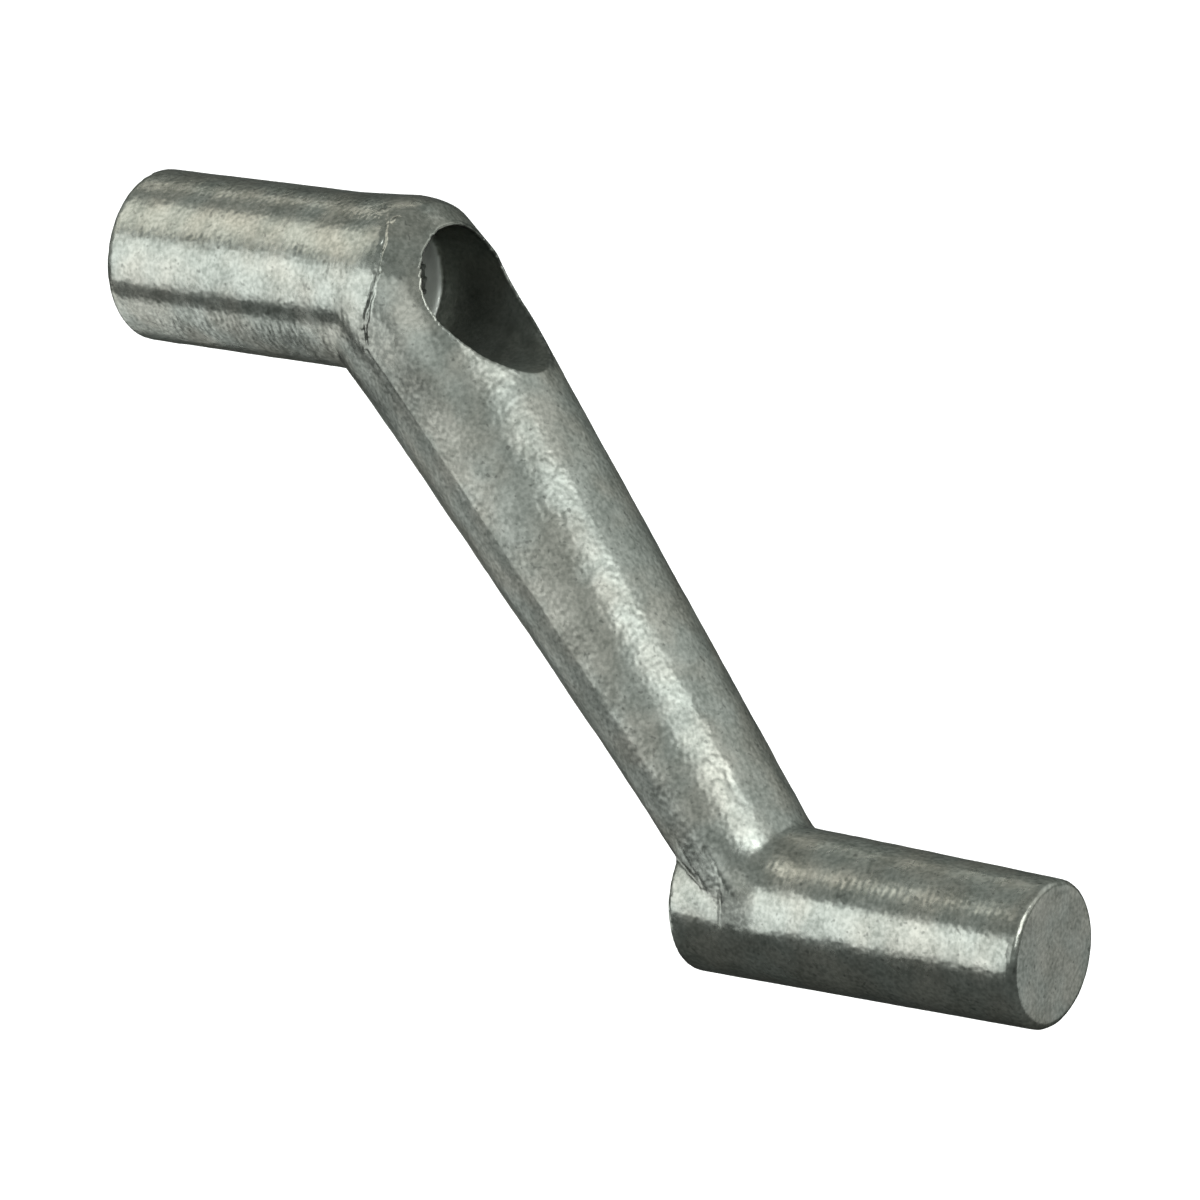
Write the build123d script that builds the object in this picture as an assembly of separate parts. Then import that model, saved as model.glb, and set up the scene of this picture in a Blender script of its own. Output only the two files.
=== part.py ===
from build123d import *
from math import asin, cos, radians, sin, tan
import os

os.makedirs("parts", exist_ok=True)

# A window crank handle, die-cast in one piece: a round hub that slides on a splined shaft, an arm
# that leaves it at a slant, and a round grip parallel to the hub.
# Millimetres. X runs along the hub from its open mouth, Y across the part, Z up; the grip is below.

# Hub, round about X, with a ball at its head
HUB_MOUTH_R = 7.94
HUB_NECK_R = 8.0
NECK_X = 22.6
HEAD_R = 8.37
HEAD_X = 29.1
MOUTH_EDGE = 0.35

# Outer corner of the head: a flatter band across the ball
CORNER_SLOPE_DEG = 42.0
CORNER_REACH = 7.7
CORNER_HALF_WIDTH = 8.6

# Arm: a round front and a round back that lean apart, and flat sides that draw in to the grip
ARM_FRONT_SLOPE_DEG = 54.9
ARM_BACK_SLOPE_DEG = 48.2
ARM_BACK_X = 28.2
FOOT_STEP = 0.06
FOOT_FILLET = 1.2

# Grip, round about a line parallel to the hub
GRIP_DROP = 51.08
GRIP_HEEL = 1.1
GRIP_LENGTH = 35.7
GRIP_START_R = 7.265
GRIP_END_R = 6.625
GRIP_START_EDGE = 0.2
GRIP_END_EDGE = 0.4

# Splined shaft socket, right through the hub
SPLINE_TEETH = 20
SPLINE_ROOT_R = 3.97
SPLINE_CREST_R = 3.7
GROOVE_FLOOR_SHARE = 0.3
GROOVE_MOUTH_SHARE = 0.5
LEAD_IN = 0.2

# Recess for the head of the screw that holds the handle on its shaft
RECESS_R = 6.0
SEAT_X = 28.0
RIM_EDGE = 0.2

# Longer than the whole part, for cuts that run right through
BEYOND = 150.0


def at_grip_axis(slope_deg, x, side):
    """X where the arm's front (side 1) or back (side -1) line meets the grip's axis."""
    slope = radians(slope_deg)
    return x + GRIP_DROP / tan(slope) + side * HEAD_R / sin(slope)


# What follows from the sizes above: where the arm stands on the grip, and the grip's place
TOE_X = at_grip_axis(ARM_FRONT_SLOPE_DEG, HEAD_X, 1)
GRIP_START_X = at_grip_axis(ARM_BACK_SLOPE_DEG, ARM_BACK_X, -1) - GRIP_HEEL
GRIP_END_X = GRIP_START_X + GRIP_LENGTH
GRIP_TAPER = (GRIP_START_R - GRIP_END_R) / GRIP_LENGTH


def along_x(*outline):
    """Solid of revolution about the hub axis, from (x, radius) points."""
    first = (outline[0][0], 0)
    last = (outline[-1][0], 0)
    section = make_face(Plane.XZ * Polyline(first, *outline, last, close=True))
    return revolve(section, Axis.X)


def across_arm(slope_deg, x):
    """Plane square to the arm: its X is the part's Y, its Y points forward and up."""
    slope = radians(slope_deg)
    return Plane(origin=(x, 0, 0), x_dir=(0, 1, 0), z_dir=(cos(slope), 0, -sin(slope)))


def behind_nose(nose, half_width, side):
    """Section of a nose and all that lies behind it (side 1), or in front of it (side -1)."""
    return nose + Pos(0, -side * BEYOND / 2) * Rectangle(2 * half_width, BEYOND)


def make_hub():
    barrel = along_x(
        (0, HUB_MOUTH_R - MOUTH_EDGE),
        (MOUTH_EDGE, HUB_MOUTH_R),
        (NECK_X, HUB_NECK_R),
        (HEAD_X, HEAD_R),
    )
    return barrel + Pos(HEAD_X, 0, 0) * Sphere(HEAD_R)


def make_side_flats():
    """The arm seen along the hub: as wide as the head at the top, drawn in to the grip's middle."""
    foot_y = GRIP_START_R - GRIP_TAPER * (TOE_X - GRIP_START_X) - FOOT_STEP
    lean = asin((HEAD_R - foot_y) / GRIP_DROP)
    top_y = HEAD_R * cos(lean)
    top_z = -HEAD_R * sin(lean)
    belt = Polyline(
        (top_y, top_z),
        (foot_y, -GRIP_DROP),
        (-foot_y, -GRIP_DROP),
        (-top_y, top_z),
        close=True,
    )
    return extrude(Plane.YZ * (make_face(belt) + Circle(HEAD_R)), BEYOND)


def make_arm():
    front_plane = across_arm(ARM_FRONT_SLOPE_DEG, HEAD_X)
    back_plane = across_arm(ARM_BACK_SLOPE_DEG, ARM_BACK_X)
    front = extrude(front_plane * behind_nose(Circle(HEAD_R), HEAD_R, 1), BEYOND, both=True)
    back = extrude(back_plane * behind_nose(Circle(HEAD_R), HEAD_R, -1), BEYOND, both=True)
    below_head = front_plane * Pos(0, 0, BEYOND / 2) * Box(BEYOND, BEYOND, BEYOND)
    return front & back & make_side_flats() & below_head


def flatten_corner(body):
    nose = Ellipse(CORNER_HALF_WIDTH, CORNER_REACH)
    section = across_arm(CORNER_SLOPE_DEG, HEAD_X) * behind_nose(nose, CORNER_HALF_WIDTH, 1)
    return body & extrude(section, BEYOND, both=True)


def make_grip():
    grip = along_x(
        (GRIP_START_X, GRIP_START_R - GRIP_START_EDGE),
        (GRIP_START_X + GRIP_START_EDGE, GRIP_START_R),
        (GRIP_END_X - GRIP_END_EDGE, GRIP_END_R),
        (GRIP_END_X, GRIP_END_R - GRIP_END_EDGE),
    )
    return Pos(0, 0, -GRIP_DROP) * grip


def join_grip(body, grip):
    """Grip run into the arm, with a fillet where the arm's round front meets its top."""
    joined = body + grip
    seams = new_edges(body, grip, combined=joined).sort_by(Axis.X)
    return fillet(seams[-2:], FOOT_FILLET)


def make_socket():
    """Splined hole with a lead-in at the hub's mouth."""
    pitch_deg = 360 / SPLINE_TEETH
    tooth_depth = SPLINE_ROOT_R - SPLINE_CREST_R
    inner_r = SPLINE_CREST_R - tooth_depth
    outer_r = SPLINE_ROOT_R + tooth_depth
    mouth_half = SPLINE_CREST_R * radians(pitch_deg) * GROOVE_MOUTH_SHARE / 2
    floor_half = SPLINE_ROOT_R * radians(pitch_deg) * GROOVE_FLOOR_SHARE / 2
    flank = (mouth_half - floor_half) / tooth_depth
    groove = Polyline(
        (inner_r, mouth_half + flank * tooth_depth),
        (outer_r, floor_half - flank * tooth_depth),
        (outer_r, -floor_half + flank * tooth_depth),
        (inner_r, -mouth_half - flank * tooth_depth),
        close=True,
    )
    grooves = [Rot(0, 0, pitch_deg * i) * make_face(groove) for i in range(SPLINE_TEETH)]
    section = (Circle(SPLINE_CREST_R) + grooves) & Circle(SPLINE_ROOT_R)
    lead_depth = tooth_depth + LEAD_IN
    lead_in = along_x((0, SPLINE_CREST_R + lead_depth), (lead_depth, SPLINE_CREST_R))
    return extrude(Plane.YZ * section, SEAT_X) + lead_in


def cut_recess(body):
    """Round recess about the hub axis, with its slanting rim broken."""
    recess = along_x((SEAT_X, RECESS_R), (BEYOND, RECESS_R))
    cut = body - recess
    rim = new_edges(body, recess, combined=cut).filter_by(GeomType.CIRCLE, reverse=True)
    return fillet(rim, RIM_EDGE)


handle = flatten_corner(make_hub() + make_arm())
handle = join_grip(handle, make_grip())
handle = cut_recess(handle)
handle -= make_socket()
export_step(handle, "parts/crank_handle.step")
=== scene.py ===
# %% [markdown]
# # A die-cast crank handle
# The handle is one zinc casting: a round hub that slides on a splined shaft, a slanting arm, and a
# round grip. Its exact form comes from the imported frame, in metres, with X along the hub from its
# open mouth, Z up and the grip below. This script gives that form the skin of a raw casting, with
# its flow marks, its parting line and its flash, and then sets it in a plain studio.

# %% Load the frame
import bmesh
import bpy
import numpy as np
from math import cos, pi, radians, sin
from mathutils import Matrix, Vector, noise
from mathutils.bvhtree import BVHTree


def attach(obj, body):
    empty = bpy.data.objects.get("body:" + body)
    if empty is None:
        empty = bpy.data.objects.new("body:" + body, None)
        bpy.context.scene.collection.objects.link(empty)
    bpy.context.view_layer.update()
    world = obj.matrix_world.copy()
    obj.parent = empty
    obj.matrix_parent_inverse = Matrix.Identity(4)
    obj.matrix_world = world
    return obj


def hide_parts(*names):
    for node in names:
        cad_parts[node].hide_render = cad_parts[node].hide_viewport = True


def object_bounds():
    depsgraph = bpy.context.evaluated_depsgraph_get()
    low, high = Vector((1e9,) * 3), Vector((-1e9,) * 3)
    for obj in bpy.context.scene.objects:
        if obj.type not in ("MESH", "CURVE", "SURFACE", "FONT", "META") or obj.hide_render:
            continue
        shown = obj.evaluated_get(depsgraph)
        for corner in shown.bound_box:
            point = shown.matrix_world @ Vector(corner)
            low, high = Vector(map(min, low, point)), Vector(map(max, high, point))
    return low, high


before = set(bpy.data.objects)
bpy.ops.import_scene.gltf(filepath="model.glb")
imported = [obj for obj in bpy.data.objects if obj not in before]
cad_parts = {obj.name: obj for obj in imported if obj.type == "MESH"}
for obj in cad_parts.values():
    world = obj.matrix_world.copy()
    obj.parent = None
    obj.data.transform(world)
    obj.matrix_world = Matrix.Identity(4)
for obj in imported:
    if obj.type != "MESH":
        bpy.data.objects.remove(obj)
cad_low, cad_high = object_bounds()
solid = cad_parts["crank_handle"]
MM = 0.001


def in_mm(values):
    """Values in millimetres, rounded for printing."""
    return [round(float(value) / MM, 2) for value in values]


print("solid, mm:", in_mm(cad_low), "to", in_mm(cad_high))

# %% [markdown]
# ## The blank
# A casting has no knife edges: the metal rounds off a little wherever the die has a corner. A solid
# from a CAD system has perfect edges and large facets, so it is first turned into an even net of
# small squares. A voxel remesh does that for any closed shape. The splined socket is too fine for
# that net, so it is plugged before the remesh and cut again at the end, as a broach would cut it.

# %% Sizes of the net and of the plug
NET = 0.34 * MM
PLUG_R = 4.6 * MM
PLUG_SIDES = 96
SEAT_X = 28.0 * MM
WELD = 0.001 * MM
print("net of", NET / MM, "mm squares, plug of", PLUG_R / MM, "mm radius")


# %% Weld the solid's loose triangles and plug its socket
def add_plug(work, radius, length):
    """A closed round bar along X, from the hub's mouth to the seat of the screw."""
    turn = Matrix.Translation((length / 2, 0, 0)) @ Matrix.Rotation(pi / 2, 4, "Y")
    bmesh.ops.create_cone(
        work, cap_ends=True, segments=PLUG_SIDES, radius1=radius, radius2=radius,
        depth=length, matrix=turn,
    )


def plugged_copy(source):
    """The source's mesh, welded, with the plug in its socket."""
    work = bmesh.new()
    work.from_mesh(source)
    bmesh.ops.remove_doubles(work, verts=work.verts, dist=WELD)
    add_plug(work, PLUG_R, SEAT_X)
    mesh = bpy.data.meshes.new("blank")
    work.to_mesh(mesh)
    work.free()
    return mesh


def after_modifier(mesh, kind, **settings):
    """The mesh as it is after one modifier."""
    carrier = bpy.data.objects.new("carrier", mesh)
    bpy.context.scene.collection.objects.link(carrier)
    modifier = carrier.modifiers.new("step", kind)
    for name, value in settings.items():
        setattr(modifier, name, value)
    shape = carrier.evaluated_get(bpy.context.evaluated_depsgraph_get())
    result = bpy.data.meshes.new_from_object(shape)
    bpy.data.objects.remove(carrier)
    return result


net = after_modifier(plugged_copy(solid.data), "REMESH", mode="VOXEL", voxel_size=NET)
print("net:", len(net.vertices), "points,", len(net.polygons), "squares")

# %% [markdown]
# ## Places on the skin
# Two places carry detail that is finer than the net: the thin rim of the screw's recess, and the
# parting line where the two halves of the die met. The rim is found by looking at the solid along
# its hub from outside, all the way round the recess. The parting line is given as (X, Z) points
# on the side of the handle: over the head, down the arm and on to the grip.

# %% A search tree of the solid's facets
points = np.empty(len(solid.data.vertices) * 3)
solid.data.vertices.foreach_get("co", points)
points = points.reshape(-1, 3)
facets = np.empty(len(solid.data.loops), int)
solid.data.loops.foreach_get("vertex_index", facets)
facets = facets.reshape(-1, 3)
tree = BVHTree.FromPolygons([Vector(p) for p in points], [tuple(f) for f in facets])
print("facets of the solid:", len(facets))

# %% The recess's rim and the parting line
RECESS_R = 6.0 * MM
RIM_R = RECESS_R + 0.2 * MM
RIM_POINTS = 120
OUTSIDE = 200 * MM


def rim_curve():
    """Points on the skin just outside the recess, looked at from its open side."""
    curve = []
    for step in range(RIM_POINTS + 1):
        angle = 2 * pi * step / RIM_POINTS
        eye = Vector((OUTSIDE, RIM_R * cos(angle), RIM_R * sin(angle)))
        curve.append(tree.ray_cast(eye, Vector((-1, 0, 0)))[0])
    return np.array(curve)


rim = rim_curve()
LINE_START = (30.4, -3.8)
LINE_END = (66.3, -45.9)
HEAD_LINE = MM * np.array([
    (26.4, 8.3), (28.2, 7.8), (29.4, 7.3), (30.3, 6.7), (30.8, 5.7),
    (31.1, 4.4), (31.3, 3.0), (31.0, 1.2), (30.6, -0.4), (30.3, -2.0), LINE_START,
])
ARM_LINE = MM * np.array([LINE_START, LINE_END, (67.0, -47.8), (67.25, -50.0), (67.25, -51.9)])
print("rim from X", round(rim[:, 0].min() / MM, 1), "to", round(rim[:, 0].max() / MM, 1), "mm")


# %% Distances from them
SIDE_START = 1.5
RECESS_REACH = 6.15
FAR_AWAY = 1.0


def from_path(places, path):
    """Distance from each place to a path, and its nearest point's share of the path, 0 to 1."""
    best = np.full(len(places), np.inf)
    share = np.zeros(len(places))
    lengths = np.linalg.norm(np.diff(path, axis=0), axis=1)
    done = 0.0
    for start, end, length in zip(path[:-1], path[1:], lengths):
        part = np.clip((places - start) @ (end - start) / length**2, 0, 1)
        gap = np.linalg.norm(places - start - part[:, None] * (end - start), axis=1)
        nearer = gap < best
        best = np.where(nearer, gap, best)
        share = np.where(nearer, (done + part * length) / lengths.sum(), share)
        done += length
    return best, share


def from_parting(places, path):
    """The same from a line on the sides, which is far away from the top and the bottom."""
    gap, share = from_path(places[:, (0, 2)], path)
    x, y, z = places.T / MM
    inside = (x > SEAT_X / MM) & (np.hypot(y, z) < RECESS_REACH)
    return np.where((np.abs(y) > SIDE_START) & ~inside, gap, FAR_AWAY), share


print("parting line,", [len(HEAD_LINE), len(ARM_LINE)], "points")


# %% [markdown]
# ## A finer net in those places
# Splitting only some squares keeps the whole piece light. The rim is split twice, because the
# broken edge of the recess is only 0.2 mm wide, and so is the parting line round the head. On the
# arm the line is softer, and one split is enough.

# %% Split the squares there
RIM_BANDS = (0.55 * MM, 0.40 * MM)
LINE_BAND = 0.70 * MM
HEAD_BAND = 0.45 * MM


def split_near(mesh, near):
    """Splits the edges of every face whose centre is near a place."""
    work = bmesh.new()
    work.from_mesh(mesh)
    centres = np.array([face.calc_center_median() for face in work.faces])
    picked = near(centres)
    work.faces.ensure_lookup_table()
    edges = list({edge for index in np.flatnonzero(picked) for edge in work.faces[index].edges})
    bmesh.ops.subdivide_edges(work, edges=edges, cuts=1, use_grid_fill=True)
    bmesh.ops.triangulate(work, faces=[face for face in work.faces if len(face.verts) > 4])
    work.to_mesh(mesh)
    work.free()
    print("split", int(picked.sum()), "faces, now", len(mesh.polygons))


for band in RIM_BANDS:
    split_near(net, lambda centres: from_path(centres, rim)[0] < band)
split_near(
    net,
    lambda centres: np.minimum(
        from_parting(centres, HEAD_LINE)[0], from_parting(centres, ARM_LINE)[0]
    ) < LINE_BAND,
)
split_near(net, lambda centres: from_parting(centres, HEAD_LINE)[0] < HEAD_BAND)

# %% [markdown]
# ## Back on to the true surface
# The net only comes near the solid, and the solid's own facets would show as flat bands in bare
# metal. Each point is therefore moved to the nearest facet and then lifted off it by the facet's
# corner normals, which lean as the true round surface does. Half of the lift to the three tangent
# planes lands exactly on a round bar. The plug isn't part of the solid, so its ends are only set
# flat.

# %% The solid's curved surface
TINY = 1e-30

corner_normals = np.empty(len(solid.data.loops) * 3)
solid.data.corner_normals.foreach_get("vector", corner_normals)
corner_normals = corner_normals.reshape(-1, 3, 3)


def positions(mesh):
    """The mesh's points, one row each."""
    values = np.empty(len(mesh.vertices) * 3)
    mesh.vertices.foreach_get("co", values)
    return values.reshape(-1, 3)


def normals(mesh):
    """The mesh's point normals, one row each."""
    values = np.empty(len(mesh.vertices) * 3)
    mesh.vertex_normals.foreach_get("vector", values)
    return values.reshape(-1, 3)


def on_curved_surface(places):
    """For each place, the nearest point of the solid's curved surface."""
    hits = [tree.find_nearest(Vector(place)) for place in places]
    at = np.array([hit[0] for hit in hits])
    which = np.array([hit[2] for hit in hits])
    a, b, c = (points[facets[which, corner]] for corner in range(3))
    ab, ac, ap = b - a, c - a, at - a
    bb, bc, cc = (ab * ab).sum(1), (ab * ac).sum(1), (ac * ac).sum(1)
    pb, pc = (ap * ab).sum(1), (ap * ac).sum(1)
    spread = np.maximum(bb * cc - bc * bc, TINY)
    second = (cc * pb - bc * pc) / spread
    third = (bb * pc - bc * pb) / spread
    weights = np.clip(np.stack([1 - second - third, second, third], 1), 0, 1)
    weights /= weights.sum(1, keepdims=True)
    lift = np.zeros_like(at)
    for number, corner in enumerate((a, b, c)):
        lean = corner_normals[which, number]
        height = ((at - corner) * lean).sum(1, keepdims=True)
        lift -= weights[:, number : number + 1] * height * lean / 2
    return at + lift


print("corner normals:", corner_normals.shape[0] * 3)

# %% Snap the net to it
PLUG_MARGIN = 0.2 * MM
SEAT_MARGIN = 1.0 * MM

skin = positions(net)
near_axis = np.hypot(skin[:, 1], skin[:, 2]) < PLUG_R - PLUG_MARGIN
on_plug = near_axis & (skin[:, 0] < SEAT_X + SEAT_MARGIN)
snapped = on_curved_surface(skin)
snapped[on_plug] = skin[on_plug]
snapped[on_plug, 0] = np.where(skin[on_plug, 0] < SEAT_X / 2, 0, SEAT_X)
net.vertices.foreach_set("co", snapped.ravel())
print("points moved by up to", round(np.linalg.norm(snapped - skin, axis=1).max() / MM, 3), "mm")

# %% [markdown]
# ## Rounded edges
# Laplacian smoothing moves each point towards the middle of its neighbours. A few steps give the
# small round that every edge of a casting has. The flat lands along the arm's sides fade into
# its round bars much more gently, so they get many steps. Each point takes only its share of the
# move, and the shares fade out at the borders, so that no border shows.

# %% Places that need more steps
GRIP_DROP = 51.1
ARM_SLOPE = radians(50)
LINE_SLOPE = np.arctan2(LINE_START[1] - LINE_END[1], LINE_END[0] - LINE_START[0])


def ramp_up(values, start, end):
    """0 before the start, 1 after the end, and smooth between them."""
    share = np.clip((values - start) / (end - start), 0, 1)
    return share * share * (3 - 2 * share)


def from_line(places):
    """Millimetres behind the parting line of the arm, and millimetres down along it."""
    x, y, z = places.T / MM
    right = x - LINE_START[0]
    up = z - LINE_START[1]
    behind = -(right * np.sin(LINE_SLOPE) + up * np.cos(LINE_SLOPE))
    down = right * np.cos(LINE_SLOPE) - up * np.sin(LINE_SLOPE)
    return behind, down


def from_grip_axis(places):
    """Millimetres from the middle of the grip."""
    return np.hypot(places[:, 1] / MM, places[:, 2] / MM + GRIP_DROP)


def arm_sides(places):
    """1 on the sides of the arm, clear of the head and of the grip."""
    x, y, z = places.T / MM
    along = (x - 30) * cos(ARM_SLOPE) - z * sin(ARM_SLOPE)
    above_grip = ramp_up(z, -48.5, -43.5) * ramp_up(from_grip_axis(places), 7.5, 8.5)
    return ramp_up(np.abs(y), 3, 4) * ramp_up(along, 8, 10) * above_grip


def toe(places):
    """1 where the flat sides, the round front and the grip run together."""
    x, y, z = places.T / MM
    before_edge = ramp_up(-from_line(places)[0], -2.2, -1.2)
    along_grip = ramp_up(x, 60, 63) * ramp_up(-x, -74, -72)
    height = ramp_up(z, -52, -50.5) * ramp_up(-z, 42.5, 45)
    return ramp_up(np.abs(y), 4, 5) * before_edge * along_grip * height


sides_share, toe_share = arm_sides(snapped), toe(snapped)
print("points on the arm's sides:", int((sides_share > 0).sum()))
print("points at the toe:", int((toe_share > 0).sum()))

# %% Smooth the skin
EDGE_STEPS = 3
RIM_STEPS = 3
LAND_STEPS = 40
TOE_STEPS = 30


def smooth(mesh, steps, share):
    """Moves points towards their neighbours, each by its share of the whole way."""
    before = positions(mesh)
    work = bmesh.new()
    work.from_mesh(mesh)
    work.verts.ensure_lookup_table()
    group = [work.verts[i] for i in np.flatnonzero(share > 0)]
    for _ in range(steps):
        bmesh.ops.smooth_vert(
            work, verts=group, factor=0.5, use_axis_x=True, use_axis_y=True, use_axis_z=True
        )
    print("smoothed", len(group), "points in", steps, "steps")
    work.to_mesh(mesh)
    work.free()
    after = before + share[:, None] * (positions(mesh) - before)
    mesh.vertices.foreach_set("co", after.ravel())
    mesh.update()


smooth(net, EDGE_STEPS, np.ones(len(snapped)))
smooth(net, RIM_STEPS, 1 - ramp_up(from_path(snapped, rim)[0] / MM, 0.5, 0.9))
smooth(net, LAND_STEPS, sides_share)
smooth(net, TOE_STEPS, toe_share)

# %% [markdown]
# ## Draft behind the parting line
# The die opens square to the arm, so the flat sides can't be quite parallel. Behind the parting
# line they lean in by a few degrees, which lets the casting out of its die.

# %% Lean the sides in
DRAFT = 0.10
DRAFT_REACH = 5.0

skin = positions(net)
x, y, z = skin.T / MM
behind, down = from_line(skin)
inward = DRAFT * np.clip(behind, 0, DRAFT_REACH) * ramp_up(np.abs(y), 3, 6)
inward *= ramp_up(down, -1, 4) * ramp_up(z, -47, -36)
y -= np.sign(y) * inward
net.vertices.foreach_set("co", (np.stack([x, y, z], 1) * MM).ravel())
net.update()
print("sides lean in by up to", round(inward.max(), 2), "mm")

# %% [markdown]
# ## The cast relief
# What a raw zinc casting shows besides its form is low relief, mostly a few hundredths of a
# millimetre high: waves and flow marks where the metal froze, fine creases where two streams met,
# the parting line as a thin ridge on the arm and a thin groove at its foot, and a rough groove with
# flash round the head. All of it is a height for each point of the net, added up here and then
# applied along the point's own normal.

# %% Waves and flow marks
WAVE_HEIGHT = 0.040
WAVE_SIZE = 3.4
WAVES_OFF_ARM = 0.45
WAVES_ADDED_ON_ARM = 0.75
FLOW_HEIGHT = 0.010
FLOW_LENGTH = 2.6
FADE_AT_TOE = 0.65


def share_on_arm(places):
    """1 on the arm and 0 on the hub and the grip, with a soft change between."""
    x, y, z = places.T / MM
    below_hub = np.clip((-z - 4) / 6 + np.clip((x - 33) / 3, 0, 1) * 0.8, 0, 1)
    above_grip = np.clip((z + 46) / 3, 0, 1)
    return below_hub * above_grip


def flow_coordinates(places):
    """Places in millimetres, squeezed along the arm so that a pattern comes out long there."""
    x, y, z = places.T / MM
    along = x * cos(ARM_SLOPE) - z * sin(ARM_SLOPE)
    across = x * sin(ARM_SLOPE) + z * cos(ARM_SLOPE)
    return np.stack([along / FLOW_LENGTH, across, y], 1)


def pattern(places, size, octaves=3, seed=0.0):
    """Smooth random heights, about -1 to 1, for places in millimetres."""
    shift = Vector((seed, seed * 1.7, -seed))
    return np.array([noise.fractal(Vector(p) / size + shift, 0.7, 2.1, octaves) for p in places])


skin = positions(net)
arm = share_on_arm(skin)
waves = pattern(skin / MM, size=WAVE_SIZE, seed=4.0)
relief = WAVE_HEIGHT * waves * (WAVES_OFF_ARM + WAVES_ADDED_ON_ARM * arm)
relief += FLOW_HEIGHT * pattern(flow_coordinates(skin), size=1.3, octaves=1, seed=11.0) * arm
relief *= 1 - FADE_AT_TOE * toe(skin)
print("waves and flow marks, mm:", round(relief.min(), 3), "to", round(relief.max(), 3))


# %% Creases where two streams of metal met
def bell(gap, width):
    """A smooth bump across a line, 1 on the line and nearly 0 at twice the width."""
    return np.exp(-((gap / (width * MM)) ** 2))


CREASES = [
    ((47.4, -6.1, -16.0), (47.8, -6.2, -16.7), (48.3, -6.0, -17.3), (48.9, -5.8, -17.6),
     (49.4, -5.3, -17.7)),
    ((61.9, -2.8, -32.9), (62.3, -2.8, -33.5), (62.8, -2.6, -34.1), (63.2, -2.0, -34.4),
     (63.2, -1.1, -34.1)),
    ((62.9, -4.8, -36.1), (63.8, -4.5, -37.1), (64.3, -4.3, -37.5), (64.6, -4.1, -37.9),
     (65.0, -3.9, -38.2)),
    ((65.4, -3.5, -38.4), (66.4, -3.7, -40.0), (67.6, -3.5, -41.5)),
    ((52.6, -2.2, -19.3), (53.4, -1.8, -20.3), (54.8, -1.0, -22.1)),
    ((85.4, -4.7, -46.1), (86.5, -4.9, -46.4), (87.5, -5.2, -46.7), (88.4, -5.4, -47.0)),
]
CREASE_DEPTH = 0.05
CREASE_WIDTH = 0.2

for crease in CREASES:
    gap = from_path(skin, MM * np.array(crease))[0]
    relief -= CREASE_DEPTH * bell(gap, CREASE_WIDTH)
print(len(CREASES), "creases,", CREASE_DEPTH, "mm deep")

# %% The parting line on the arm
RIDGE_HEIGHT = 0.04
RIDGE_WIDTH = 0.14
RIDGE_SHARES = (0, 0.35, 0.6, 0.8, 0.93, 0.96, 0.99, 1)
RIDGE_STRENGTHS = (1, 0.8, 0.25, -0.15, -0.7, -2.0, -1.8, -0.5)

gap, share = from_parting(skin, ARM_LINE)
strength = np.interp(share, RIDGE_SHARES, RIDGE_STRENGTHS)
relief += RIDGE_HEIGHT * strength * bell(gap, RIDGE_WIDTH)
print("parting line on", int((gap < 2 * RIDGE_WIDTH * MM).sum()), "points")

# %% The groove and the flash round the head
GROOVE_DEPTH = 0.085
GROOVE_WIDTH = 0.16
GROOVE_WANDER = 0.20
FLASH_HEIGHT = 0.03
FLASH_WIDTH = 0.18
FLASH_PLACE = 0.32
ROUGH_HEIGHT = 0.022
ROUGH_WIDTH = 1.2
NIB_PLACE = (31.0, -4.2, 7.0)
NIB_HEIGHT = 0.32
NIB_WIDTH = 0.45
LEFT_AT_RIM = 0.3

wander = GROOVE_WANDER * MM * pattern(skin / MM, size=1.3, octaves=1, seed=30.0)
rough = np.clip(1.0 + 0.8 * pattern(skin / MM, size=1.5, octaves=2, seed=40.0), 0.2, 1.8)
broken = np.clip(0.2 + 1.6 * pattern(skin / MM, size=0.6, octaves=2, seed=50.0), 0, 1.4)
gap, share = from_parting(skin, HEAD_LINE)
gap = np.abs(gap + wander)
ends = np.interp(share, (0, 0.12, 0.95, 1), (0, 1, 1, 0.6))
relief -= GROOVE_DEPTH * rough * ends * bell(gap, GROOVE_WIDTH)
relief += FLASH_HEIGHT * broken * ends * bell(gap - FLASH_PLACE * MM, FLASH_WIDTH)

line_x = np.interp(skin[:, 2], HEAD_LINE[::-1, 1], HEAD_LINE[::-1, 0])
hub_side = 0.3 + 0.7 * ramp_up((line_x - skin[:, 0]) / MM, -0.4, 0.2)
rough_skin = pattern(skin / MM, size=0.6, octaves=2, seed=60.0)
relief += ROUGH_HEIGHT * rough_skin * hub_side * ends * bell(gap, ROUGH_WIDTH)
from_nib = np.linalg.norm(skin - MM * np.array(NIB_PLACE), axis=1)
relief += NIB_HEIGHT * bell(from_nib, NIB_WIDTH)

from_rim = from_path(skin, rim)[0] / MM
relief *= LEFT_AT_RIM + (1 - LEFT_AT_RIM) * ramp_up(from_rim, 0.5, 1.8)
print("relief, mm:", round(relief.min(), 3), "to", round(relief.max(), 3))

# %% [markdown]
# ## Applying the relief
# The heights are lowered a little everywhere, so that the waves stay below the size of the solid,
# and the result is held inside the solid's box.

# %% Move the points
BELOW_SIZE = 0.02

skin += normals(net) * (relief - BELOW_SIZE)[:, None] * MM
skin = np.clip(skin, np.array(cad_low), np.array(cad_high))
net.vertices.foreach_set("co", skin.ravel())
net.update()
print("skin, mm:", in_mm(skin.min(0)), "to", in_mm(skin.max(0)))

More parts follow.
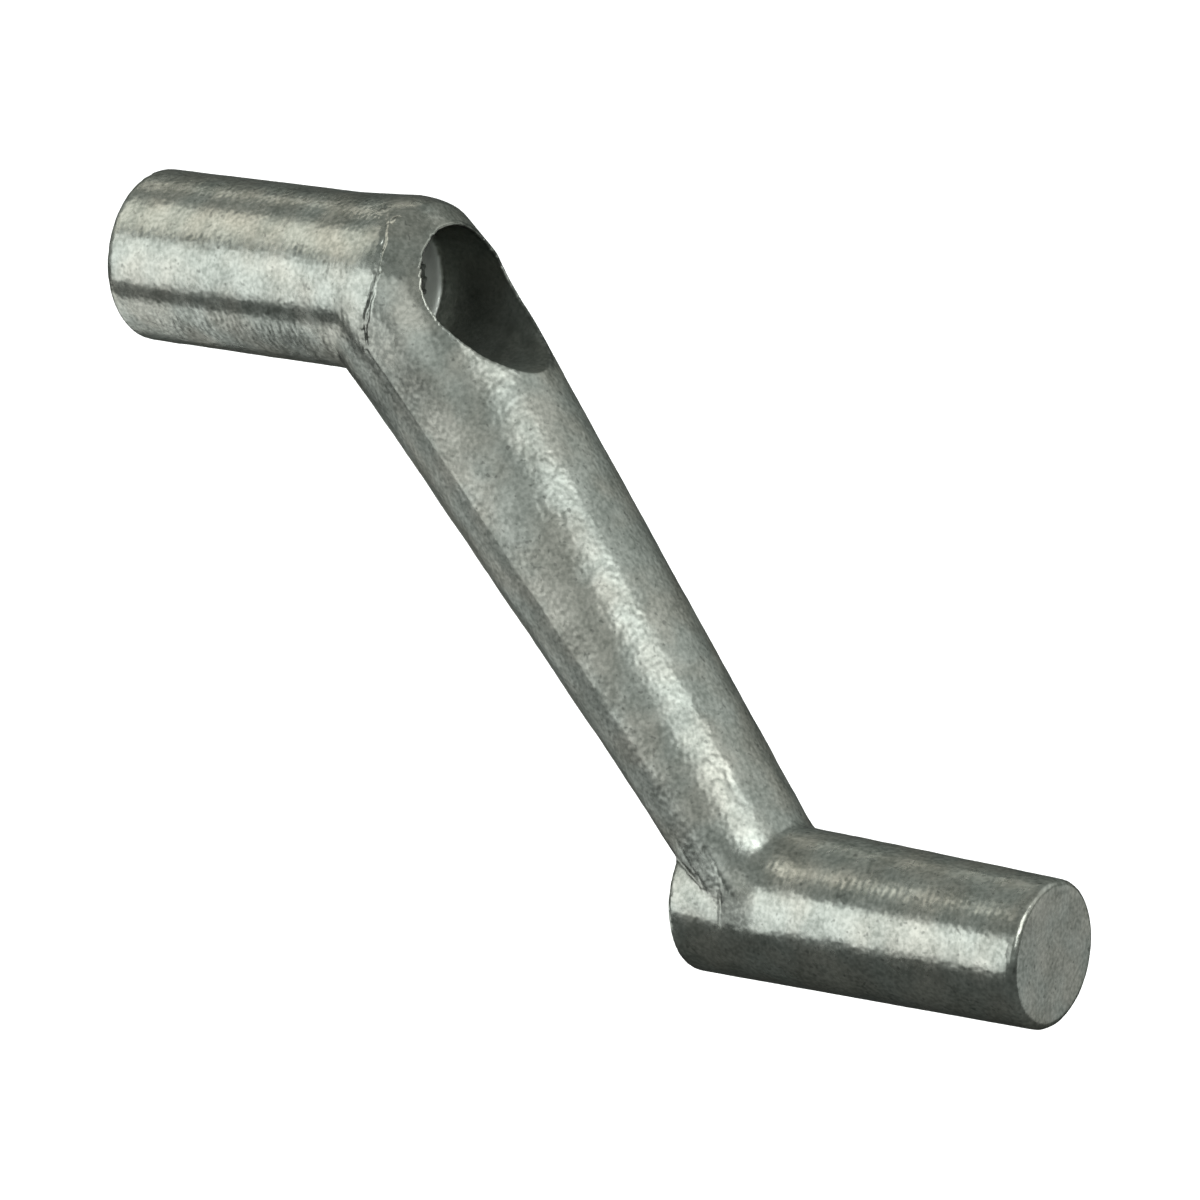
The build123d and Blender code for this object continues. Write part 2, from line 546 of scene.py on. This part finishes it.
# %% [markdown]
# ## The splined socket
# The socket's section repeats one groove twenty times round the hub, which is a rule that Geometry
# Nodes can follow: a circle gets four points for each groove, and each point's place comes from its
# number. The face is drawn out into a bar, joined with a small cone for the lead-in, and this
# tool then cuts the casting. Its sizes are named inputs of the tree. Both meshes are cut as
# triangles and in millimetres, because an exact cut needs flat faces and numbers that aren't tiny.

# %% Helpers for node trees
def add(tree_or_group, kind, **settings):
    """A new node with its settings."""
    node = tree_or_group.nodes.new(kind)
    for name, value in settings.items():
        setattr(node, name, value)
    return node


def plug_in(tree_or_group, socket, source):
    """Gives an input socket a value, or links it to another node's output."""
    if isinstance(source, bpy.types.NodeSocket):
        tree_or_group.links.new(source, socket)
    else:
        socket.default_value = source


def calc(group, operation, *inputs):
    """A Math node's output."""
    node = add(group, "ShaderNodeMath", operation=operation)
    for socket, source in zip(node.inputs, inputs):
        plug_in(group, socket, source)
    return node.outputs[0]


# %% The cutting tool's section
TOOL_SIZES = {
    "Teeth": 20,
    "Crest radius": 3.7 * MM,
    "Root radius": 3.97 * MM,
    "Groove floor share": 0.3,
    "Groove mouth share": 0.5,
    "Length": 30.0 * MM,
    "Lead in start radius": 4.27 * MM,
    "Lead in end radius": 3.6 * MM,
    "Lead in length": 0.67 * MM,
}
CORNERS = 4


def by_corner(group, corner, values):
    """The value for each of a groove's four corners."""
    node = add(group, "GeometryNodeIndexSwitch", data_type="FLOAT")
    while len(node.index_switch_items) < CORNERS:
        node.index_switch_items.new()
    plug_in(group, node.inputs["Index"], corner)
    for number, value in enumerate(values):
        plug_in(group, node.inputs[str(number)], value)
    return node.outputs[0]


def groove_ring(group, size):
    """The section as a face round Z, with its points placed by their numbers."""
    number = add(group, "GeometryNodeInputIndex").outputs[0]
    corner = calc(group, "MODULO", number, CORNERS)
    groove = calc(group, "FLOOR", calc(group, "DIVIDE", number, CORNERS))
    half_mouth = calc(group, "DIVIDE", size["Groove mouth share"], 2.0)
    half_floor = calc(group, "DIVIDE", size["Groove floor share"], 2.0)
    minus_mouth = calc(group, "MULTIPLY", half_mouth, -1.0)
    minus_floor = calc(group, "MULTIPLY", half_floor, -1.0)
    aside = by_corner(group, corner, (minus_mouth, minus_floor, half_floor, half_mouth))
    crest, root = size["Crest radius"], size["Root radius"]
    radius = by_corner(group, corner, (crest, root, root, crest))
    turn = calc(group, "MULTIPLY", calc(group, "ADD", groove, aside), 2 * pi)
    angle = calc(group, "DIVIDE", turn, size["Teeth"])
    place = add(group, "ShaderNodeCombineXYZ")
    plug_in(group, place.inputs["X"], calc(group, "MULTIPLY", radius, calc(group, "COSINE", angle)))
    plug_in(group, place.inputs["Y"], calc(group, "MULTIPLY", radius, calc(group, "SINE", angle)))
    ring = add(group, "GeometryNodeMeshCircle", fill_type="NGON")
    plug_in(group, ring.inputs["Vertices"], calc(group, "MULTIPLY", size["Teeth"], CORNERS))
    face = add(group, "GeometryNodeSetPosition")
    plug_in(group, face.inputs["Geometry"], ring.outputs["Mesh"])
    plug_in(group, face.inputs["Position"], place.outputs[0])
    return face.outputs[0]


print("points of the section:", TOOL_SIZES["Teeth"] * CORNERS)

# %% The bar and its cone
BAR_START = -0.5 * MM
CONE_START = -0.1 * MM
CONE_SIDES = 80


def drawn_bar(group, face, length):
    """The face drawn out along Z and closed at its start."""
    drawn = add(group, "GeometryNodeExtrudeMesh", mode="FACES")
    plug_in(group, drawn.inputs["Mesh"], face)
    plug_in(group, drawn.inputs["Offset Scale"], length)
    back_face = add(group, "GeometryNodeFlipFaces")
    plug_in(group, back_face.inputs["Mesh"], face)
    bar = add(group, "GeometryNodeJoinGeometry")
    group.links.new(drawn.outputs["Mesh"], bar.inputs[0])
    group.links.new(back_face.outputs[0], bar.inputs[0])
    closed = add(group, "GeometryNodeMergeByDistance")
    plug_in(group, closed.inputs["Geometry"], bar.outputs[0])
    plug_in(group, closed.inputs["Distance"], WELD)
    return closed.outputs[0]


def lead_in_cone(group, size):
    """A short cone round Z, wide at its start."""
    cone = add(group, "GeometryNodeMeshCone")
    plug_in(group, cone.inputs["Vertices"], CONE_SIDES)
    plug_in(group, cone.inputs["Radius Bottom"], size["Lead in start radius"])
    plug_in(group, cone.inputs["Radius Top"], size["Lead in end radius"])
    plug_in(group, cone.inputs["Depth"], size["Lead in length"])
    return cone.outputs["Mesh"]


def moved(group, geometry, setting, value):
    """The geometry after a Transform node with one setting of its own."""
    node = add(group, "GeometryNodeTransform")
    plug_in(group, node.inputs["Geometry"], geometry)
    plug_in(group, node.inputs[setting], value)
    return node.outputs[0]


print("starts of the bar and of the cone, mm:", in_mm((BAR_START, CONE_START)))


# %% The cutting tool's tree
def tool_tree(material):
    """A splined bar along X that starts before the hub's mouth, with a cone at its mouth."""
    group = bpy.data.node_groups.new("spline_tool", "GeometryNodeTree")
    group.interface.new_socket("Tool", in_out="OUTPUT", socket_type="NodeSocketGeometry")
    for name, value in TOOL_SIZES.items():
        kind = "NodeSocketInt" if isinstance(value, int) else "NodeSocketFloat"
        group.interface.new_socket(name, in_out="INPUT", socket_type=kind)
    size = add(group, "NodeGroupInput").outputs
    bar = drawn_bar(group, groove_ring(group, size), size["Length"])
    cone = lead_in_cone(group, size)
    both = add(group, "GeometryNodeMeshBoolean", operation="UNION", solver="EXACT")
    group.links.new(moved(group, bar, "Translation", (0, 0, BAR_START)), both.inputs["Mesh 2"])
    group.links.new(moved(group, cone, "Translation", (0, 0, CONE_START)), both.inputs["Mesh 2"])
    real = add(group, "GeometryNodeRealizeInstances")
    plug_in(group, real.inputs[0], moved(group, both.outputs[0], "Rotation", (0, pi / 2, 0)))
    coat = add(group, "GeometryNodeSetMaterial")
    plug_in(group, coat.inputs["Geometry"], real.outputs[0])
    plug_in(group, coat.inputs["Material"], material)
    group.links.new(coat.outputs[0], add(group, "NodeGroupOutput").inputs[0])
    return group


print("sizes of the tool:", ", ".join(TOOL_SIZES))


# %% Make the tool
metal = bpy.data.materials.new("cast_zinc")
tool = bpy.data.objects.new("tool", bpy.data.meshes.new("tool"))
bpy.context.scene.collection.objects.link(tool)
nodes = tool.modifiers.new("spline_tool", "NODES")
nodes.node_group = tool_tree(metal)
for item in nodes.node_group.interface.items_tree:
    if item.in_out == "INPUT":
        nodes[item.identifier] = TOOL_SIZES[item.name]
shape = tool.evaluated_get(bpy.context.evaluated_depsgraph_get())
tool_mesh = bpy.data.meshes.new_from_object(shape)
tool.modifiers.clear()
tool.data = tool_mesh
print("tool:", len(tool_mesh.vertices), "points,", len(tool_mesh.polygons), "faces")


# %% Cut the socket
def split_in_triangles(mesh):
    """Splits every square in two, because a bent square has no exact cut."""
    work = bmesh.new()
    work.from_mesh(mesh)
    bmesh.ops.triangulate(work, faces=work.faces)
    work.to_mesh(mesh)
    work.free()


for mesh in (net, tool_mesh):
    split_in_triangles(mesh)
    mesh.transform(Matrix.Scale(1 / MM, 4))
cast = after_modifier(net, "BOOLEAN", object=tool, operation="DIFFERENCE", solver="EXACT")
cast.transform(Matrix.Scale(MM, 4))
bpy.data.objects.remove(tool)
print("casting:", len(cast.vertices), "points,", len(cast.polygons), "faces")

# %% [markdown]
# ## The casting as a piece
# The finished net becomes one object that takes the place of the solid. Edges where two faces meet
# at more than 35 degrees stay sharp, which matters only in the freshly cut socket. Four numbers are
# kept with each point for the finish: how coarse the skin is, whether it is the wall of the recess
# or of the socket, which gets painted shade, whether it is the seat of the screw, which gets
# painted light, and how much painted shade it gets elsewhere. Painted shade darkens the narrow
# strip that runs on down the grip in front of the parting line, the arm's sides under the head, the
# drafted sides behind the line, the foot, and the far side of the recess's rim.

# %% The object
SHARP_ANGLE = radians(35)

casting = bpy.data.objects.new("cast_handle", cast)
bpy.context.scene.collection.objects.link(casting)
cast.materials.clear()
cast.materials.append(metal)
cast.shade_smooth()
cast.set_sharp_from_angle(angle=SHARP_ANGLE)
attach(casting, "root")
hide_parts("crank_handle")
print("triangles:", sum(len(face.vertices) - 2 for face in cast.polygons))


# %% Where the skin is coarse, and where shade and light are painted
def keep(mesh, name, values):
    """Stores one number for each point of the mesh."""
    layer = mesh.attributes.new(name, "FLOAT", "POINT")
    layer.data.foreach_set("value", np.clip(values, 0, 1).astype(np.float32))


skin = positions(cast)
x, y, z = skin.T / MM
from_axis = np.hypot(y, z)
# The walls of the recess and of the socket get painted shade, and the seat gets painted light.
in_recess = np.clip((x - 28.15) / 0.5, 0, 1) * np.clip((6.12 - from_axis) / 0.15, 0, 1)
in_socket = (from_axis < 4.1) & (x < 27.95) & (x > 0.3)
on_seat = (np.abs(x - 28) < 0.2) & (from_axis < 6)
side = ramp_up(np.abs(y), 3.5, 6)
behind, down = from_line(skin)
keep(cast, "coarse", share_on_arm(skin) * (1 - 0.25 * ramp_up(down, 8, 44) * (1 - side)))
keep(cast, "shaded_wall", np.maximum(in_recess, in_socket))
keep(cast, "seat", on_seat)
print("points on the screw's seat:", int(on_seat.sum()))

# %% Where shade is painted
# Strengths of the painted shade in each place; it darkens the base colour there.
SHADE_ON_STRIP = 0.85
SHADE_UNDER_HEAD = 0.6
SHADE_ON_DRAFT = 0.32
SHADE_ON_FOOT = 0.12
SHADE_ON_FAR_RIM = 0.85

above_grip = ramp_up(from_grip_axis(skin), 7.4, 7.7)
strip = ramp_up(x, 67.15, 67.35) * ramp_up(-x, -71.0, -69.6)
strip *= ramp_up(-z, 47.5, 49.5) * ramp_up(z, -52.2, -51.0)
under_head = ramp_up(down, -3.5, -1) * ramp_up(-down, -13, -4) * ramp_up(behind, -4.5, -2.5)
drafted = ramp_up(behind, -0.2, 0.5) * ramp_up(down, -3, 0) * above_grip
foot = ramp_up(down, 44, 50) * ramp_up(behind, -4, -1) * above_grip
far_rim = (1 - ramp_up(from_path(skin, rim)[0] / MM, 0.25, 0.6)) * ramp_up(y, 0, 3)
shaded_places = [
    SHADE_ON_STRIP * strip * side, SHADE_UNDER_HEAD * under_head * side, SHADE_ON_DRAFT * drafted * side,
    SHADE_ON_FOOT * foot * side, SHADE_ON_FAR_RIM * far_rim,
]
keep(cast, "painted_shade", np.maximum.reduce(shaded_places))
print("numbers kept:", [layer.name for layer in cast.attributes if layer.data_type == "FLOAT"])

# %% [markdown]
# ## The finish
# Raw die-cast zinc is a greenish grey metal that is never even. The melt leaves cloudy patches and
# small speckles, pale and dull, some a little warmer and some a little cooler, and a few dark
# specks. The die leaves a fine grain, which is smaller than the net and is therefore a bump: tiny
# ripples round the hub and the grip, where the die was turned, and an even grain on the arm.
# Nothing here depends on where the camera stands. Some of the colour is painted shade, which
# darkens the walls of the recess and the socket and a few places on the arm and the rim, and some
# is painted light, which brightens the seat of the screw.

# %% Helpers for the finish
metal.use_nodes = True
finish = metal.node_tree
shader = finish.nodes["Principled BSDF"]
where = add(finish, "ShaderNodeTexCoord").outputs["Object"]


def cloud(size, detail=3.0, squeeze=(1, 1, 1)):
    """Cloudy values about 0.5, with clouds of the given size in millimetres."""
    frame_of_cloud = add(finish, "ShaderNodeMapping")
    plug_in(finish, frame_of_cloud.inputs["Vector"], where)
    frame_of_cloud.inputs["Scale"].default_value = [value / (size * MM) for value in squeeze]
    texture = add(finish, "ShaderNodeTexNoise")
    plug_in(finish, texture.inputs["Vector"], frame_of_cloud.outputs[0])
    texture.inputs["Scale"].default_value = 1
    texture.inputs["Detail"].default_value = detail
    return texture.outputs["Fac"]


def between(value, low, high, start, end):
    """The value's place between low and high, stretched to run from start to end."""
    node = add(finish, "ShaderNodeMapRange")
    plug_in(finish, node.inputs["Value"], value)
    for name, number in zip(("From Min", "From Max", "To Min", "To Max"), (low, high, start, end)):
        plug_in(finish, node.inputs[name], number)
    return node.outputs[0]


def mixed(share, first, second, blend="MIX"):
    """Two colours mixed by a share, or multiplied."""
    node = add(finish, "ShaderNodeMix", data_type="RGBA", blend_type=blend)
    first_colour, second_colour, mixed_colour = node.inputs[6], node.inputs[7], node.outputs[2]
    plug_in(finish, node.inputs["Factor"], share)
    plug_in(finish, first_colour, first)
    plug_in(finish, second_colour, second)
    return mixed_colour


def kept(name):
    """A number kept with the mesh's points."""
    return add(finish, "ShaderNodeAttribute", attribute_name=name).outputs["Fac"]


coarse, shaded_wall, seat, shade_share = map(kept, ("coarse", "shaded_wall", "seat", "painted_shade"))
print("nodes to start with:", len(finish.nodes))

# %% Colours
PALE_METAL = (0.57, 0.58, 0.545, 1)
DULL_METAL = (0.30, 0.315, 0.29, 1)
WARM_CAST = (1.02, 0.995, 0.975, 1)
COOL_CAST = (0.98, 1.005, 1.01, 1)
EDGE_TINT = (0.36, 0.36, 0.36, 1)
# The colour of the dark specks, and of the painted shade on the arm and the far side of the rim.
SPECK_AND_SHADE_COLOUR = (0.13, 0.137, 0.127, 1)
# Painted shade on the walls of the recess and of the socket.
SHADED_WALL_COLOUR = (0.125, 0.135, 0.12, 1)
# Painted light on the seat of the screw, at the bottom of the recess.
PAINTED_LIGHT_ON_SEAT = (0.75, 0.77, 0.74, 1)
PATCH_SIZE = 3.2
PATCH_SHARE = 0.45
SPECKLE_SIZE = 0.4
SPECKLE_SHARE = 0.6
HUE_SIZE = 4.5
SPECK_SIZE = 0.6
SPECK_STRENGTH = 0.5

patches = between(cloud(PATCH_SIZE), 0.35, 0.65, 0.0, 1.0)
speckle = between(cloud(SPECKLE_SIZE, 1.0), 0.32, 0.68, 0.0, 1.0)
patch_tone = calc(finish, "MULTIPLY", patches, PATCH_SHARE)
tone = calc(finish, "ADD", patch_tone, calc(finish, "MULTIPLY", speckle, SPECKLE_SHARE))
hue = mixed(between(cloud(HUE_SIZE, 1.0), 0.38, 0.62, 0.0, 1.0), WARM_CAST, COOL_CAST)
uneven_metal = mixed(1.0, mixed(tone, DULL_METAL, PALE_METAL), hue, "MULTIPLY")
specks = between(cloud(SPECK_SIZE, 1.0), 0.66, 0.74, 0.0, SPECK_STRENGTH)
# Painted shade on the strip, the arm's sides, the foot and the far side of the rim, mottled by the
# speckles.
mottled_shade = calc(finish, "MULTIPLY", shade_share, between(speckle, 0.0, 1.0, 1.15, 0.75))
skin_colour = mixed(calc(finish, "MAXIMUM", mottled_shade, specks), uneven_metal, SPECK_AND_SHADE_COLOUR)
# Painted light on the seat of the screw.
colour_with_lit_seat = mixed(seat, skin_colour, PAINTED_LIGHT_ON_SEAT)
# Painted shade on the walls of the recess and of the socket.
plug_in(finish, shader.inputs["Base Color"], mixed(shaded_wall, colour_with_lit_seat, SHADED_WALL_COLOUR))
shader.inputs["Metallic"].default_value = 1
shader.inputs["Specular Tint"].default_value = EDGE_TINT
print("nodes with the colours:", len(finish.nodes))

# %% Roughness
SMOOTH_SKIN = 0.24
COARSE_SKIN = 0.42
SWING_SIZE = 2.5
ROUGHNESS_SWING = 0.06
HIDDEN_EXTRA = 0.4

skin_roughness = between(coarse, 0.0, 1.0, SMOOTH_SKIN, COARSE_SKIN)
swing = between(cloud(SWING_SIZE), 0.3, 0.7, -ROUGHNESS_SWING, ROUGHNESS_SWING)
uneven = calc(finish, "ADD", skin_roughness, swing)
hidden = calc(finish, "MULTIPLY", calc(finish, "MAXIMUM", shaded_wall, seat), HIDDEN_EXTRA)
plug_in(finish, shader.inputs["Roughness"], calc(finish, "ADD", uneven, hidden))
print("nodes with the roughness:", len(finish.nodes))

# %% Grain
RELIEF_OF_GRAIN = 0.035 * MM
RIPPLE_SIZE = 0.45
RIPPLE_STRETCH = (1, 0.3, 0.3)
RIPPLE_ON_ROUNDS = 0.5
GRAIN_SIZE = 0.5
GRAIN_ON_ROUNDS = 0.5
GRAIN_ON_ARM = 1.35

ripples = cloud(RIPPLE_SIZE, 0.0, squeeze=RIPPLE_STRETCH)
grain = cloud(GRAIN_SIZE, 0.0)
ripple_share = between(coarse, 0.0, 1.0, RIPPLE_ON_ROUNDS, 0.0)
grain_share = between(coarse, 0.0, 1.0, GRAIN_ON_ROUNDS, GRAIN_ON_ARM)
height = calc(
    finish, "ADD",
    calc(finish, "MULTIPLY", ripples, ripple_share),
    calc(finish, "MULTIPLY", grain, grain_share),
)
bump = add(finish, "ShaderNodeBump")
bump.inputs["Distance"].default_value = RELIEF_OF_GRAIN
bump.inputs["Strength"].default_value = 1
plug_in(finish, bump.inputs["Height"], height)
plug_in(finish, shader.inputs["Normal"], bump.outputs[0])
print("nodes with the grain:", len(finish.nodes))

# %% [markdown]
# ## The camera
# A long lens from the front right and a little above keeps the hub and the grip almost parallel.
# The camera is placed by the direction in which it stands from a point in the middle of the handle,
# and then moved sideways until the handle sits where it should in the frame.

# %% Camera
AZIMUTH = radians(35.78)
ELEVATION = radians(14.26)
ROLL = radians(-0.73)
DISTANCE = 593.4 * MM
LENS = 199.05
SENSOR = 36
MIDDLE = Vector((45, 0, -26)) * MM
SIDEWAYS = -3.756 * MM
UPWARDS = 0.742 * MM
NEAREST = 0.01
FARTHEST = 20

back = Vector((sin(AZIMUTH) * cos(ELEVATION), -cos(AZIMUTH) * cos(ELEVATION), sin(ELEVATION)))
right = Vector((cos(AZIMUTH), sin(AZIMUTH), 0))
up = back.cross(right)
lean = Matrix.Rotation(ROLL, 3, back)
right = lean @ right
up = lean @ up

camera = bpy.data.objects.new("camera", bpy.data.cameras.new("camera"))
camera.data.lens = LENS
camera.data.sensor_width = SENSOR
camera.data.clip_start = NEAREST
camera.data.clip_end = FARTHEST
place = MIDDLE + back * DISTANCE - right * SIDEWAYS - up * UPWARDS
camera.matrix_world = Matrix.Translation(place) @ Matrix((right, up, back)).transposed().to_4x4()
bpy.context.scene.collection.objects.link(camera)
bpy.context.scene.camera = camera
print("camera at, mm:", in_mm(place))

# %% [markdown]
# ## The studio
# Bare metal shows little but what stands round it, so the handle is lit by large soft panels in a
# dim room, and the edges of the panels draw the bright bands along its round parts. The floor is
# pale and lies well below. The metal doesn't mirror it, so the undersides stay dark, and one small
# panel that lies flat, low beyond the hub's mouth, gives the hub's underside some light.

# %% Floor
FLOOR_DROP = 0.3
FLOOR_REACH = 10
FLOOR_COLOUR = (0.9, 0.9, 0.9, 1)

floor_mesh = bpy.data.meshes.new("floor")
floor_work = bmesh.new()
bmesh.ops.create_grid(floor_work, x_segments=1, y_segments=1, size=FLOOR_REACH)
floor_work.to_mesh(floor_mesh)
floor_work.free()
floor = bpy.data.objects.new("floor", floor_mesh)
floor.location.z = -FLOOR_DROP
bpy.context.scene.collection.objects.link(floor)
floor_paint = bpy.data.materials.new("pale_floor")
floor_paint.use_nodes = True
paint_shader = floor_paint.node_tree.nodes["Principled BSDF"]
paint_shader.inputs["Base Color"].default_value = FLOOR_COLOUR
paint_shader.inputs["Roughness"].default_value = 1
floor_mesh.materials.append(floor_paint)
floor.visible_glossy = False
print("floor", FLOOR_DROP, "m below the hub's axis")

# %% Room
CEILING_LIGHT = 0.34
GROUND_LIGHT = 0.13
CEILING_START = 0.35
GROUND_END = -0.45
ROOM_COLOUR = (0.93, 1.0, 0.93, 1)

world = bpy.data.worlds.new("room")
world.use_nodes = True
room = world.node_tree
direction = add(room, "ShaderNodeTexCoord").outputs["Generated"]
split = add(room, "ShaderNodeSeparateXYZ")
plug_in(room, split.inputs[0], direction)
ramp = add(room, "ShaderNodeMapRange", interpolation_type="SMOOTHSTEP")
plug_in(room, ramp.inputs["Value"], split.outputs["Z"])
ramp.inputs["From Min"].default_value = GROUND_END
ramp.inputs["From Max"].default_value = CEILING_START
ramp.inputs["To Min"].default_value = GROUND_LIGHT
ramp.inputs["To Max"].default_value = CEILING_LIGHT
room.nodes["Background"].inputs["Color"].default_value = ROOM_COLOUR
plug_in(room, room.nodes["Background"].inputs["Strength"], ramp.outputs[0])
bpy.context.scene.world = world
bpy.context.scene.view_settings.view_transform = "Standard"
print("room light from", GROUND_LIGHT, "below to", CEILING_LIGHT, "above")


# %% Soft panels
def soft_panel(name, direction, distance, width, height, brightness, colour):
    """A panel that faces the handle; its brightness is that of its surface, 1 for white paper."""
    data = bpy.data.lights.new(name, "AREA")
    data.shape = "RECTANGLE"
    data.size = width
    data.size_y = height
    data.energy = brightness * pi * width * height
    data.color = colour
    lamp = bpy.data.objects.new(name, data)
    towards = Vector(direction).normalized()
    lamp.location = MIDDLE + towards * distance
    lamp.rotation_euler = towards.to_track_quat("Z", "Y").to_euler()
    lamp.visible_camera = False
    bpy.context.scene.collection.objects.link(lamp)
    return lamp


WHITE = (1.0, 1.0, 1.0)
WARM = (1.0, 0.96, 0.85)
COOL = (0.97, 1.0, 0.97)
PANELS = [
    ("window", (-0.57, -0.82, 0.06), 0.70, 0.42, 0.60, 1.26, COOL),
    ("window_top", (-0.66, -0.31, 0.68), 0.37, 0.15, 0.20, 0.98, WARM),
    ("high_strip", (-0.57, 0.45, 0.69), 0.70, 0.40, 0.05, 1.20, WARM),
    ("right", (0.83, -0.24, 0.50), 0.70, 0.34, 0.42, 2.65, COOL),
    ("back", (0.60, 0.55, 0.58), 0.80, 0.70, 0.50, 0.42, COOL),
    ("front", (0.10, -0.93, 0.25), 0.80, 0.50, 0.50, 0.55, COOL),
    ("end_fill", (0.57, 0.79, -0.22), 0.55, 0.40, 0.25, 0.38, COOL),
    ("floor_wash", (0.0, 0.3, 1.0), 4.0, 6.0, 6.0, 3.2, WHITE),
    ("under_hub", (-0.888, -0.034, -0.454), 0.295, 0.21, 0.22, 1.0, COOL),
]
lamps = {panel[0]: soft_panel(*panel) for panel in PANELS}
lamps["floor_wash"].visible_glossy = False
lamps["under_hub"].rotation_euler = (pi, 0, 0)
print("panels:", ", ".join(lamps))
